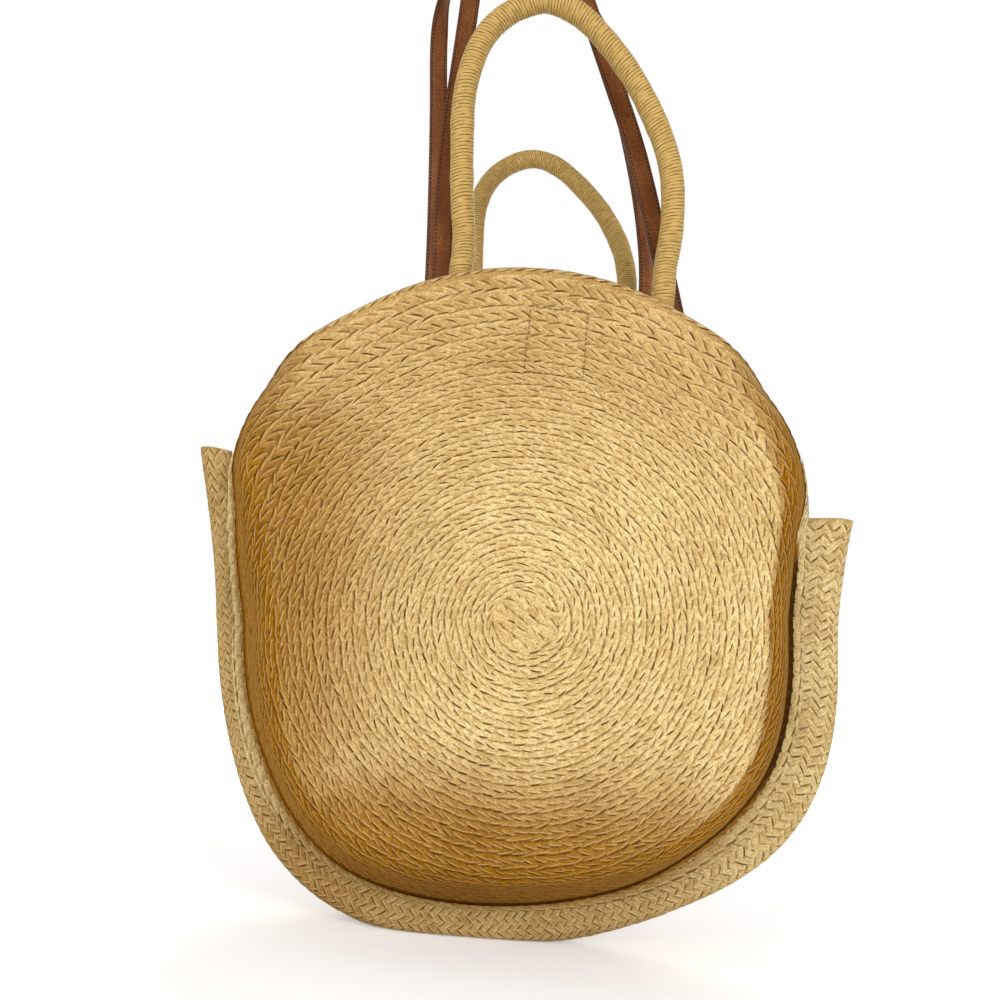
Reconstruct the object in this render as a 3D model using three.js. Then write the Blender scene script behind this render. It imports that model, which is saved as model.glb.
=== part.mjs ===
// Round straw bag: two coiled plait panels and a plaited gusset, two wrapped handles and two leather straps.
// Millimetres, +Z up, the front panel faces -Y, and the origin is on the flat that the bag stands on.
import * as THREE from "three";

const rad = THREE.MathUtils.degToRad;

// Clearances between pieces that touch on the real bag
const gap = 0.3;
const seamGap = 0.5;
const sewnGap = 0.6;

// Coiled panels: flat radius, thickness, and how far the middle stands from the bag's mid plane
const panelRadius = 200;
const panelThick = 4;
const halfDepth = 90;
const rimWidth = 8;
const rimThick = 5;
const mouthLean = 18;
const dome = 8;
const leanPower = 2.2;
const leanFrom = 0.5;
const leanTo = 0.95;

// The fold that turns each panel's sides and bottom back to the gusset, slightly askew as on the soft bag
const foldAngle = rad(66);
const foldBend = 24;
const creaseSide = 0.6 * panelRadius;
const creaseLow = 0.565 * panelRadius;
const creaseOpen = 0.375 * panelRadius;
const openPower = 1.35;
const mouthFlat = 25;
const flatFrom = 0.75;
const flatTo = 0.9;
const creaseTilt = rad(6.3);
const creaseRound = 3;

// Gusset: where it ends on the panel's edge, its widest outline, its sag on the floor, and the two hems
const angleStep = 6;
const gussetEnd = 24;
const crestEnd = 21.5;
const crestSide = 0.92 * panelRadius;
const crestFlare = 8;
const crestShift = 6;
const crestRound = 2.6;
const bulgeRound = 3;
const gussetThick = 4;
const floorSag = 6;
const centreHeight = crestSide - floorSag;
const hemTurns = 2;
const hemRows = [0.5, 1.45];

// Threads and lacing
const laceRadius = 1;
const threadRadius = 0.6;
const threadSides = 4;
const laceSides = 5;

// Handles: rope core, raffia wrapping, and the outline of each arch as [across, up] from the hinge line
const wrapRadius = 7;
const coreRadius = 4.7;
const hingeRise = panelRadius + rimWidth;
const hingeDepth = 53;
const tailLength = 30;
const tailTop = 6.5;
const tailScarf = 3.5;
const tailTaper = 4;
const tailTip = 0.5;
const tailSteps = 10;
const frontArch = [
  [-55, 0], [-58.7, 28], [-62.5, 61], [-64.5, 92], [-62, 113], [-55, 132], [-43, 145.5], [-21.5, 154.5],
  [-4, 149.5], [10, 139], [24, 124.5], [36, 109], [46.5, 92], [55, 75], [60.5, 58], [63, 40], [63.5, 22], [62, 0],
];
const backArch = [
  [-51, 0], [-53.5, 28], [-56.5, 61], [-58, 92], [-56, 113], [-49.5, 132], [-38.5, 147], [-19, 157],
  [-3.5, 152], [9, 141], [21.5, 126], [32.5, 110], [41.5, 92], [48, 75], [52, 58], [54, 40], [54, 22],
  [51, 0],
];
const handleSteps = 30;
const wrapSides = 8;
const footRings = [0.06, 0.55, 0.85, 1];
const frontHandle = { name: "front", side: -1, lean: rad(4), arch: frontArch };
const backHandle = { name: "back", side: 1, lean: rad(22.5), arch: backArch };

// Leather straps: two plies of one width, and the loop's outline as [across, up] from the hinge line
const strapWidth = 12;
const plyThick = 1.4;
const strapLean = 0.047;
const strapTwistFrom = 165;
const strapTwistTo = 240;
const strapTailLength = 66;
const strapTailSteps = 16;
const strapTuck = 14;
const strapSteps = 40;
const frontLoop = [
  [-67.3, 0], [-69, 20], [-71, 50], [-71.5, 90], [-70.5, 140], [-70, 200], [-69, 232], [-61, 254], [-46, 262],
  [-32, 251], [-21, 229], [-7, 195], [12, 150], [27.5, 112], [37.5, 87], [46, 62], [53, 39], [59, 18.5],
  [64.5, 0],
];
const backLoop = [
  [-78, 0], [-80, 30], [-85, 90], [-91, 150], [-95, 200], [-89, 232], [-68, 252], [-36, 252],
  [-3, 230], [16, 203], [33, 160], [49, 110], [60, 65], [65, 30], [66, 0],
];

// Magnetic closure on its two patches below the middle of the mouth
const patchWidth = 33;
const patchHeight = 41;
const patchThick = 1.6;
const patchDrop = 45;
const patchShift = 3;
const patchInset = 3;
const patchColumns = 2;
const patchRows = 3;
const snapSides = 16;
const snapRadius = 9;
const snapThick = 3.5;
const studRadius = 4;
const studThick = 2.5;

const straw = (name, color) => new THREE.MeshStandardMaterial({ name, color, roughness: 0.8 });
const looks = {
  plait: () => straw("straw", 0xc9a662),
  band: () => straw("straw_band", 0xd2b578),
  wrap: () => straw("raffia", 0xc4a05a),
  rope: () => straw("rope", 0xb8a078),
  thread: () => straw("thread", 0x8a6a34),
  leather: () => straw("leather", 0x6e371e),
  steel: () =>
    new THREE.MeshStandardMaterial({ name: "steel", color: 0xb8b8b8, metalness: 1, roughness: 0.3 }),
};

const bag = new THREE.Group();
bag.name = "round_straw_bag";

// Adds one closed solid to the bag, turning its faces out if they point in
function add(name, { points, faces }, material) {
  let volume = 0;
  for (const [a, b, c] of faces) volume += points[a].dot(points[b].clone().cross(points[c]));
  const order = volume < 0 ? faces.map(([a, b, c]) => [a, c, b]) : faces;
  const geometry = new THREE.BufferGeometry().setFromPoints(points);
  geometry.setIndex(order.flat());
  geometry.computeVertexNormals();
  const mesh = new THREE.Mesh(geometry, material);
  mesh.name = name;
  bag.add(mesh);
}

// A sheet between two offsets of a surface at(i, j, level)
// It is closed round i when ring is true, and comes to a point at j = 0 when pole is true
function sheet(countI, countJ, at, ring = false, pole = false) {
  const points = [];
  const faces = [];
  const rows = ring ? countI : countI + 1;
  const index = [0, 1].map((level) => {
    const centre = pole ? points.push(at(0, 0, level)) - 1 : -1;
    return Array.from({ length: rows }, (_, i) =>
      Array.from({ length: countJ + 1 }, (_, j) =>
        pole && j === 0 ? centre : points.push(at(i, j, level)) - 1,
      ),
    );
  });
  const vertex = (level, i, j) => index[level][i % rows][j];
  const quad = (a, b, c, d) => {
    if (a !== b) faces.push([a, b, c]);
    if (c !== d) faces.push([a, c, d]);
  };
  for (let i = 0; i < countI; i++) {
    for (let j = 0; j < countJ; j++) {
      quad(vertex(0, i, j), vertex(0, i + 1, j), vertex(0, i + 1, j + 1), vertex(0, i, j + 1));
      quad(vertex(1, i, j + 1), vertex(1, i + 1, j + 1), vertex(1, i + 1, j), vertex(1, i, j));
    }
    quad(vertex(0, i, countJ), vertex(0, i + 1, countJ), vertex(1, i + 1, countJ), vertex(1, i, countJ));
    if (!pole) quad(vertex(0, i, 0), vertex(1, i, 0), vertex(1, i + 1, 0), vertex(0, i + 1, 0));
  }
  for (let j = 0; !ring && j < countJ; j++) {
    quad(vertex(0, 0, j), vertex(0, 0, j + 1), vertex(1, 0, j + 1), vertex(1, 0, j));
    quad(vertex(1, countI, j), vertex(1, countI, j + 1), vertex(0, countI, j + 1), vertex(0, countI, j));
  }
  return { points, faces };
}

// A skin over rings of equal length, with a fan over each end, or joined end to end when loop is true
function loft(rings, loop = false) {
  const sides = rings[0].length;
  const points = rings.flat();
  const faces = [];
  const spans = loop ? rings.length : rings.length - 1;
  for (let k = 0; k < spans; k++) {
    const next = (k + 1) % rings.length;
    for (let s = 0; s < sides; s++) {
      const t = (s + 1) % sides;
      faces.push([k * sides + s, k * sides + t, next * sides + t]);
      faces.push([k * sides + s, next * sides + t, next * sides + s]);
    }
  }
  for (let s = 1; !loop && s < sides - 1; s++) {
    const last = (rings.length - 1) * sides;
    faces.push([0, s + 1, s]);
    faces.push([last, last + s, last + s + 1]);
  }
  return { points, faces };
}

// Directions along a path: forward, then through, which stays as near to the normal as it can, and across
function frameAt(path, k, normal, loop = false) {
  const before = loop ? path.at(k - 1) : path[Math.max(k - 1, 0)];
  const after = loop ? path[(k + 1) % path.length] : path[Math.min(k + 1, path.length - 1)];
  const forward = after.clone().sub(before).normalize();
  const through = normal.clone().addScaledVector(forward, -normal.dot(forward)).normalize();
  return { forward, through, across: through.clone().cross(forward) };
}

// A round ring of the given radius about point k of a path
function ringAt(path, k, normal, radius, sides, loop = false) {
  const { through, across } = frameAt(path, k, normal, loop);
  return Array.from({ length: sides }, (_, s) => {
    const turn = (2 * Math.PI * s) / sides;
    const out = across.clone().multiplyScalar(radius * Math.cos(turn));
    return out.addScaledVector(through, radius * Math.sin(turn)).add(path[k]);
  });
}

// A level ring about a point
const levelRing = (point, radius, sides) =>
  Array.from({ length: sides }, (_, s) => {
    const turn = (2 * Math.PI * s) / sides;
    return point.clone().add(new THREE.Vector3(radius * Math.cos(turn), radius * Math.sin(turn), 0));
  });

const rod = (path, normal, radius, sides, loop = false) =>
  loft(path.map((_, k) => ringAt(path, k, normal, radius, sides, loop)), loop);

// Coil radius at which the fold starts, by direction round the panel
function foldStart(angle) {
  const up = Math.sin(angle - creaseTilt);
  const side = (up < 0 ? Math.abs(Math.cos(angle - creaseTilt)) : 1) / creaseSide;
  const low = Math.max(0, -up) / creaseLow;
  const box = Math.pow(Math.pow(side, creaseRound) + Math.pow(low, creaseRound), -1 / creaseRound);
  const flat = mouthFlat * THREE.MathUtils.smoothstep(up, flatFrom, flatTo);
  return box + flat + creaseOpen * Math.pow(Math.max(0, up), openPower);
}

// Place on the front panel's middle surface at a coil radius and a direction
// The panel is flat, then bent, then straight back to the seam, and leans in at the mouth
function panelPoint(along, angle) {
  const start = foldStart(angle);
  const bent = THREE.MathUtils.clamp((along - start) / foldBend, 0, foldAngle);
  const straight = Math.max(0, along - start - foldBend * foldAngle);
  const radius = Math.min(along, start) + foldBend * Math.sin(bent) + straight * Math.cos(foldAngle);
  const back = foldBend * (1 - Math.cos(bent)) + straight * Math.sin(foldAngle);
  const open = THREE.MathUtils.smoothstep(Math.sin(angle), leanFrom, leanTo);
  const lean = (dome + open * mouthLean) * Math.pow(along / panelRadius, leanPower);
  const up = centreHeight + radius * Math.sin(angle);
  return new THREE.Vector3(radius * Math.cos(angle), back + lean - halfDepth, up);
}

// Direction out of the front panel
function panelNormal(along, angle) {
  const step = 0.5;
  const out = panelPoint(along + step, angle).sub(panelPoint(along - step, angle));
  const turn = step / panelRadius;
  const round = panelPoint(along, angle + turn).sub(panelPoint(along, angle - turn));
  return out.cross(round).normalize();
}

// Place at a distance out of (or, when negative, inside) the front panel
const offPanel = (along, angle, out) =>
  panelPoint(along, angle).addScaledVector(panelNormal(along, angle), out);

// The same by place across and height above the floor, as seen from the front, for pieces near the mouth
function offFace(across, height, out) {
  const rise = height - centreHeight;
  return offPanel(Math.hypot(across, rise), Math.atan2(rise, across), out);
}

const mirror = (point) => new THREE.Vector3(point.x, -point.y, point.z);
const onSide = (side) => (side < 0 ? (point) => point : mirror);
const sides = [
  { name: "front", side: -1 },
  { name: "back", side: 1 },
];

// Panels and the plait that finishes each panel's edge
const turns = 360 / angleStep;
const panelEdge = panelRadius - rimWidth - gap;
const panelRings = [0, 0.22, 0.44, 0.59, 0.66, 0.72, 0.78, 0.85, 0.92, 1];
for (const { name, side } of sides) {
  const place = onSide(side);
  const disc = (i, j, level) =>
    place(offPanel(Math.max(panelRings[j] * panelEdge, 1), rad(i * angleStep), (0.5 - level) * panelThick));
  const centred = (i, j, level) =>
    j ? disc(i, j, level) : place(new THREE.Vector3(0, (level - 0.5) * panelThick - halfDepth, centreHeight));
  add(name + "_panel", sheet(turns, panelRings.length - 1, centred, true, true), looks.plait());
  const edge = (i, j, level) =>
    place(offPanel(panelRadius - rimWidth * (1 - j), rad(i * angleStep), (0.5 - level) * rimThick));
  add(name + "_rim_plait", sheet(turns, 1, edge, true), looks.plait());
}

// Widest outline of the gusset by direction: a rounded square below, straight and a little flared above
function crestRadius(angle) {
  const turned = angle - creaseTilt;
  const side = Math.abs(Math.cos(turned));
  const low = Math.max(0, -Math.sin(turned));
  const flare = crestFlare * Math.pow(Math.max(0, Math.sin(angle)) / Math.sin(rad(crestEnd)), 2);
  const square = Math.pow(Math.pow(side, crestRound) + Math.pow(low, crestRound), 1 / crestRound);
  return (crestSide + flare) / square;
}

// Gusset: rows follow the same directions as the panel's edge, and each row bulges from seam to seam
const gussetRows = (180 + 2 * gussetEnd) / angleStep;
const gussetColumns = 10;
const rowAngle = (row) => rad(180 - gussetEnd + row * angleStep);
const crestAngle = (row) => rad(270) + (rowAngle(row) - rad(270)) * ((90 + crestEnd) / (90 + gussetEnd));
const seamStart = rimThick / 2 + seamGap;

// Middle surface of the gusset at a row and a share of its width, 0 at the front seam and 1 at the back seam
function gussetPoint(row, share) {
  const edge = panelPoint(panelRadius, rowAngle(row));
  const near = new THREE.Vector3(Math.cos(rowAngle(row)), 0, Math.sin(rowAngle(row)));
  const far = new THREE.Vector3(Math.cos(crestAngle(row)), 0, Math.sin(crestAngle(row)));
  const seam = edge.clone().addScaledVector(near, seamStart);
  const middle = new THREE.Vector3(crestShift, 0, centreHeight);
  const crest = middle.addScaledVector(far, crestRadius(crestAngle(row)));
  const turn = Math.PI * share;
  const power = 2 / bulgeRound;
  const rise = Math.pow(Math.sin(turn), power);
  const cross = Math.sign(Math.cos(turn)) * Math.pow(Math.abs(Math.cos(turn)), power);
  const from = new THREE.Vector3(seam.x, 0, seam.z).lerp(crest, rise);
  return from.setY((seam.y - gussetThick / 2) * cross);
}

function gussetNormal(row, share) {
  const step = 0.01;
  const low = Math.min(Math.max(share, step), 1 - step);
  const across = gussetPoint(row, low + step).sub(gussetPoint(row, low - step));
  const along = gussetPoint(row + step, low).sub(gussetPoint(row - step, low));
  return across.cross(along).normalize();
}

// Place at a distance out of the gusset, never below the flat that the bag stands on
function offGusset(row, share, out, floor = 0) {
  const point = gussetPoint(row, share).addScaledVector(gussetNormal(row, share), out);
  return point.setZ(Math.max(point.z, floor));
}

const rowsToEnd = (row) => Math.min(row, gussetRows - row);
const gussetWall = (row, column, level) => {
  const plies = rowsToEnd(row) < hemTurns ? 2 : 1;
  const out = level ? gussetThick / 2 - plies * gussetThick : gussetThick / 2;
  return offGusset(row, column / gussetColumns, out, level * gussetThick);
};
add("gusset", sheet(gussetRows, gussetColumns, gussetWall), looks.band());

// Lacing along each seam, in the valley between the panel's edge and the gusset
for (const { name, side } of sides) {
  const place = onSide(side);
  const lace = Array.from({ length: gussetRows + 1 }, (_, row) => {
    const angle = rowAngle(row);
    const reach = rimThick / 2 + seamGap + laceRadius;
    const up = new THREE.Vector3(Math.cos(angle), 0, Math.sin(angle)).multiplyScalar(reach);
    const fore = new THREE.Vector3(0, gussetThick + gap + laceRadius, 0);
    return place(panelPoint(panelRadius, angle).add(up).sub(fore));
  });
  add(name + "_seam_lacing", rod(lace, new THREE.Vector3(0, 1, 0), laceRadius, laceSides), looks.thread());
}

// Two sewn rows across each of the gusset's hems
for (const [end, toRow] of [["left", (row) => row], ["right", (row) => gussetRows - row]]) {
  hemRows.forEach((row, k) => {
    const place = (share) => offGusset(toRow(row), share, gussetThick / 2 + sewnGap + threadRadius);
    const path = Array.from({ length: gussetColumns - 1 }, (_, c) => place((c + 1) / gussetColumns));
    const thread = rod(path, new THREE.Vector3(0, 0, 1), threadRadius, threadSides);
    add(end + "_hem_thread_" + (k + 1), thread, looks.thread());
  });
}

// Handles: an arch of rope and wrapping that turns on the hinge line, above tails sewn inside the panel
const hingeHeight = centreHeight + hingeRise;
const shoulder = hingeHeight - tailTop - tailTaper;
const tailEnd = shoulder - tailLength;
const innerFace = -rimThick / 2 - sewnGap;

// Depth at which a piece of the given half thickness lies against the inside of the front panel
function seatAt(places, height, half) {
  const depths = places.map((x) => {
    const rim = centreHeight + Math.sqrt(panelRadius ** 2 - x ** 2);
    return offFace(x, Math.min(height, rim), innerFace - half).y;
  });
  return Math.max(...depths);
}

function archPath({ side, lean, arch }) {
  const flat = arch.map(([x, up]) => new THREE.Vector3(x, 0, up));
  const curve = new THREE.CatmullRomCurve3(flat, false, "centripetal");
  return curve.getSpacedPoints(handleSteps).map(
    ({ x, z: up }) => {
      const depth = hingeDepth + up * Math.sin(lean);
      return new THREE.Vector3(x, side * depth, hingeHeight + up * Math.cos(lean));
    },
  );
}

for (const handle of [frontHandle, backHandle]) {
  const { name, side, lean, arch } = handle;
  const path = archPath(handle);
  const normal = new THREE.Vector3(0, Math.cos(lean), -side * Math.sin(lean));
  const legs = [gap, -gap].map((lift, k) => {
    const { forward } = frameAt(path, k * handleSteps, normal);
    return path.at(-k).clone().addScaledVector(forward, lift);
  });
  const wound = [legs[0], ...path.slice(1, -1), legs[1]];
  const wrap = (i, j, level) => {
    const radius = level ? coreRadius + gap : wrapRadius;
    return ringAt(wound, j, normal, radius, wrapSides)[i % wrapSides];
  };
  add(name + "_handle_wrap", sheet(wrapSides, handleSteps, wrap, true), looks.wrap());

  // The rope ends below the wrapping in a round foot that turns on the hinge line
  const foot = (k, outward) => footRings.map((share) => {
    const { forward } = frameAt(path, k, normal);
    const drop = forward.multiplyScalar(outward * wrapRadius * Math.sqrt(1 - share * share));
    return ringAt(path, k, normal, wrapRadius * share, wrapSides).map((point) => point.add(drop));
  });
  const rope = path.map((_, k) => ringAt(path, k, normal, coreRadius, wrapSides));
  const ends = [foot(0, -1), foot(handleSteps, 1).reverse()];
  add(name + "_handle_core", loft([...ends[0], ...rope, ...ends[1]]), looks.rope());

  // Tails run down the inside of the panel, and a slanting top leaves room for the foot to turn
  for (const [end, [x]] of [["left", arch[0]], ["right", arch.at(-1)]]) {
    const edges = [x - wrapRadius, x, x + wrapRadius];
    const place = onSide(side);
    const run = Array.from({ length: tailSteps }, (_, k) => {
      const height = shoulder - (k / (tailSteps - 1)) * tailLength;
      const seat = Math.min(seatAt(edges, height, wrapRadius), -hingeDepth);
      return place(new THREE.Vector3(x, k ? seat : -hingeDepth, height));
    });
    const tip = place(new THREE.Vector3(x, tailScarf - hingeDepth, hingeHeight - tailTop));
    const tail = [tip, ...run];
    const rings = tail.map((point, k) => levelRing(point, k ? wrapRadius : tailTip, wrapSides));
    add(name + "_handle_tail_" + end, loft(rings), looks.wrap());
  }
}

// Straps: a face and a lining of leather, looped up behind the handle and turned edge on near the top
const strapHalf = plyThick + gap / 2;
const strapDepth = hingeDepth - wrapRadius - sewnGap - strapHalf;
function strapPath(loop, side) {
  const flat = loop.map(([x, up]) => new THREE.Vector3(x, 0, up));
  const curve = new THREE.CatmullRomCurve3(flat, false, "centripetal");
  return curve.getSpacedPoints(strapSteps).map(
    ({ x, z: up }) => new THREE.Vector3(x, side * (strapDepth - strapLean * up), hingeHeight + up),
  );
}

function ribbon(path, side, from, to) {
  return loft(path.map((point, k) => {
    const { through, across } = frameAt(path, k, new THREE.Vector3(0, side, 0));
    const rise = point.z - hingeHeight;
    const twist = (Math.PI / 2) * THREE.MathUtils.smoothstep(rise, strapTwistFrom, strapTwistTo);
    const wide = across.clone().multiplyScalar(Math.cos(twist)).addScaledVector(through, Math.sin(twist));
    const thick = through.clone().multiplyScalar(Math.cos(twist)).addScaledVector(across, -Math.sin(twist));
    const end = k === 0 || k === path.length - 1;
    if (end) thick.set(0, side, 0);
    if (end) wide.set(Math.sign(wide.x), 0, 0);
    wide.multiplyScalar(strapWidth / 2);
    const corner = (w, t) => point.clone().addScaledVector(wide, w).addScaledVector(thick, t);
    return [corner(-1, from), corner(1, from), corner(1, to), corner(-1, to)];
  }));
}

const plies = [
  ["face", gap / 2, gap / 2 + plyThick],
  ["lining", -gap / 2, -gap / 2 - plyThick],
];
for (const [name, side, loop] of [["front", -1, frontLoop], ["back", 1, backLoop]]) {
  const path = strapPath(loop, side);
  for (const [ply, from, to] of plies) {
    add(name + "_strap_" + ply, ribbon(path, side, from, to), looks.leather());
  }
  const place = onSide(side);
  // Each strap's tail passes over the handle's tail and is sewn to the panel below it
  const feet = [["left", loop[0], loop[1]], ["right", loop.at(-1), loop.at(-2)]];
  for (const [end, [x, low], [nextX, nextUp]] of feet) {
    const slope = (nextX - x) / (nextUp - low);
    const tail = Array.from({ length: strapTailSteps + 1 }, (_, k) => {
      const drop = gap + (k / strapTailSteps) * strapTailLength;
      const height = hingeHeight - drop;
      const edges = [-1, 0, 1].map((w) => x - slope * drop + (w * strapWidth) / 2);
      const over = THREE.MathUtils.smoothstep(height, tailEnd - strapTuck, tailEnd);
      const y = THREE.MathUtils.lerp(seatAt(edges, height, strapHalf), -strapDepth, over);
      const corner = (w, t) => place(new THREE.Vector3(edges[w + 1], y + t, height));
      return [corner(-1, -strapHalf), corner(1, -strapHalf), corner(1, strapHalf), corner(-1, strapHalf)];
    });
    add(name + "_strap_tail_" + end, loft(tail), looks.leather());
  }
}

// Closure: a sewn patch inside each panel with half of a magnetic snap, and the sewing that shows outside
const patchHeightAt = centreHeight + panelRadius - patchDrop;
const onPatch = (x, z, out, inset = 0) => {
  const across = patchShift + x * (patchWidth / 2 - inset);
  return offFace(across, patchHeightAt + z * (patchHeight / 2 - inset), out);
};
for (const { name, side } of sides) {
  const place = onSide(side);
  const inside = -panelThick / 2 - gap;
  const patch = (i, j, level) =>
    place(onPatch(2 * (i / patchColumns) - 1, 2 * (j / patchRows) - 1, inside - level * patchThick));
  add(name + "_snap_patch", sheet(patchColumns, patchRows, patch), looks.leather());

  const seat = onPatch(0, 0, inside - patchThick - 2 * gap);
  const inward = onPatch(0, 0, inside - patchThick - 2 * gap - 1).sub(seat);
  const upright = new THREE.Vector3(1, 0, 0);
  const disc = (radius, from, to) =>
    rod([from, to].map((d) => place(seat.clone().addScaledVector(inward, d))), upright, radius, snapSides);
  add(name + "_snap_base", disc(snapRadius, 0, snapThick), looks.steel());
  const studFrom = snapThick + gap;
  if (side > 0) add("back_snap_stud", disc(studRadius, studFrom, studFrom + studThick), looks.steel());

  const outside = panelThick / 2 + gap + threadRadius;
  const outline = [[-1, -1], [0, -1], [1, -1], [1, 0], [1, 1], [0, 1], [-1, 1], [-1, 0]];
  const sewing = outline.map(([x, z]) => place(onPatch(x, z, outside, patchInset)));
  const thread = rod(sewing, new THREE.Vector3(0, 1, 0), threadRadius, threadSides, true);
  add(name + "_patch_thread", thread, looks.thread());
}

export default bag;
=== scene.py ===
"""Round straw bag: coiled palm plait panels, a plaited gusset, raffia wound handles and leather straps."""
import math
import bmesh
import bpy
import numpy as np
from mathutils import Matrix


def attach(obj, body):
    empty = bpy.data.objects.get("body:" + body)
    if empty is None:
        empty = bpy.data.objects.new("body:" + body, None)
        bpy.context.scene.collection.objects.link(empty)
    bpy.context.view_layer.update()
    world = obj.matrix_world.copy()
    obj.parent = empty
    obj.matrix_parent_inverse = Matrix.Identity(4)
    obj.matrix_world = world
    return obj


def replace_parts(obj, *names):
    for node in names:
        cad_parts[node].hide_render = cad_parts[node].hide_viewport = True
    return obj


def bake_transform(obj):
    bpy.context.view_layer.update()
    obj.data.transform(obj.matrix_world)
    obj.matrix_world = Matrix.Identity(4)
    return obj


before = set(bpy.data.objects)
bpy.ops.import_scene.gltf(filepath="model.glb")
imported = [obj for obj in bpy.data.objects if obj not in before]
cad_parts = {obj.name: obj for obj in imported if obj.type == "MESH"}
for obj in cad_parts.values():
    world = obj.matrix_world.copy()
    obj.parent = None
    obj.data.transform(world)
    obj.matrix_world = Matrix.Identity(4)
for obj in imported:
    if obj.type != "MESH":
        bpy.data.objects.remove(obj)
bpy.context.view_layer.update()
rng = np.random.default_rng(7)
MM = 0.001

# Sizes of the bag in millimetres, with the angles and powers of its shapes
PANEL_RADIUS, HALF_DEPTH, CENTRE = 200.0, 90.0, 178.0
RIM_HALF, MOUTH_LEAN, DOME, LEAN_POWER = 2.5, 18.0, 8.0, 2.2
FOLD, BEND, CREASE_TILT = math.radians(66), 24.0, math.radians(6.3)
CREASE_SIDE, CREASE_LOW, CREASE_OPEN, CREASE_TOP = 120.0, 113.0, 75.0, 25.0
CREASE_POWER, OPEN_POWER = 3, 1.35
GUSSET_END, CREST_END, ROW_STEP, ROW_LONG = 24.0, 21.5, 6.0, 19.6
CREST_SIDE, CREST_FLARE, CREST_SHIFT, GUSSET_HALF = 184.0, 8.0, 6.0, 2.0
CREST_POWER, BULGE_POWER, SEAM_OUT = 2.6, 2 / 3, 3.0
FLOOR, FLOOR_EASE = 0.2, 2.0
GUSSET_ROWS = (180 + 2 * GUSSET_END) / ROW_STEP
GUSSET_FROM, GUSSET_TO = -0.05, GUSSET_ROWS + 0.35
HINGE_Z, HINGE_Y, HANDLE_R = 386.0, 53.0, 7.0
FRONT_ARCH = np.array([
    [-55, 0], [-58.7, 28], [-62.5, 61], [-64.5, 92], [-62, 113], [-55, 132], [-43, 145.5], [-21.5, 154.5],
    [-4, 149.5], [10, 139], [24, 124.5], [36, 109], [46.5, 92], [55, 75], [60.5, 58], [63, 40], [63.5, 22],
    [62, 0]])
BACK_ARCH = np.array([
    [-51, 0], [-53.5, 28], [-56.5, 61], [-58, 92], [-56, 113], [-49.5, 132], [-38.5, 147], [-19, 157],
    [-3.5, 152], [9, 141], [21.5, 126], [32.5, 110], [41.5, 92], [48, 75], [52, 58], [54, 40], [54, 22],
    [51, 0]])
FRONT_LOOP = np.array([
    [-67.3, 0], [-69, 20], [-71, 50], [-71.5, 90], [-70.5, 140], [-70, 200], [-69, 232], [-61, 254],
    [-46, 262], [-32, 251], [-21, 229], [-7, 195], [12, 150], [27.5, 112], [37.5, 87], [46, 62], [53, 39],
    [59, 18.5], [64.5, 0]])
BACK_LOOP = np.array([
    [-78, 0], [-80, 30], [-85, 90], [-91, 150], [-95, 200], [-89, 232], [-68, 252], [-36, 252],
    [-3, 230], [16, 203], [33, 160], [49, 110], [60, 65], [65, 30], [66, 0]])
STRAP_WIDE, STRAP_HALF, CLEAR = 12.0, 1.55, 0.6
STRAP_Y = HINGE_Y - HANDLE_R - CLEAR - STRAP_HALF
STRAP_LEAN, TWIST_FROM, TWIST_TO = 0.047, 165.0, 240.0
TAIL, STRAP_TAIL, STRAP_TUCK = 40.5, 66.0, 14.0
WIND_STEP, WIND_STARTS, WIND_INSET, WIND_RIDGE = 2.0, 3, 0.62, 0.55
HEM_ROWS, HEM_INSET = (0.5, 1.45), 12.0
STITCH_STEP, STITCH_INSET, STITCH_ROW, THREAD_STEP = 2.5, 4.0, 4.4, 3.4
PATCH_X, PATCH_Z, PATCH_WIDE, PATCH_HIGH = 3.0, 331.0, 33.0, 41.0

# Uneven places of this soft bag: how far each goes in, its direction in degrees, and how sharp it is
WIDE_DIP = 13.7
SEAM_DIPS = ((4.0, -60, WIDE_DIP), (2.0, -152, WIDE_DIP))
SHOULDER_DIPS = ((3.0, 60, WIDE_DIP), (3.5, 52, 40), (-4.0, 36, 30),
                 (2.0, 120, WIDE_DIP), (3.0, 125, 40), (-5.0, 147, 30))
CREST_DIPS = ((10.0, -60, WIDE_DIP), (3.5, -55, 5), (7.0, -152, WIDE_DIP), (2.5, -123, 25))


def smoothstep(x, low, high):
    """Rises from 0 at low to 1 at high as 3t^2 - 2t^3."""
    t = np.clip((x - low) / (high - low), 0, 1)
    return t * t * (3 - 2 * t)


def stack(*parts):
    """Puts parts of matching shapes side by side on a new last axis."""
    return np.stack(np.broadcast_arrays(*parts), axis=-1)


def unit(v):
    """Vectors scaled to length one."""
    return v / np.maximum(np.linalg.norm(v, axis=-1, keepdims=True), 1e-12)


def run_of(path):
    """Distance along a path from its start to each of its points."""
    return np.concatenate([[0], np.cumsum(np.linalg.norm(np.diff(path, axis=0), axis=1))])


def mirrored(points, side):
    """Points made for the front, as they are for side -1 and mirrored to the back for side 1."""
    return points * np.array([1, -side, 1])


def fold_start(angle):
    """Coil radius where the fold begins: a rounded box of the side and bottom crease lines, opened at the
    mouth by a power of the height."""
    across, up = np.cos(angle - CREASE_TILT), np.sin(angle - CREASE_TILT)
    side = np.where(up < 0, np.abs(across), 1) / CREASE_SIDE
    low = np.maximum(0, -up) / CREASE_LOW
    box = (side ** CREASE_POWER + low ** CREASE_POWER) ** (-1 / CREASE_POWER)
    return box + CREASE_OPEN * np.maximum(0, up) ** OPEN_POWER + CREASE_TOP * smoothstep(up, 0.66, 0.95)


def dips(angle, places):
    """Sum of soft bumps, each an exponential of the cosine of the angle from its direction."""
    turned = angle - CREASE_TILT
    return sum(deep * np.exp(-sharp * (1 - np.cos(turned - math.radians(middle))))
               for deep, middle, sharp in places)


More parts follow.
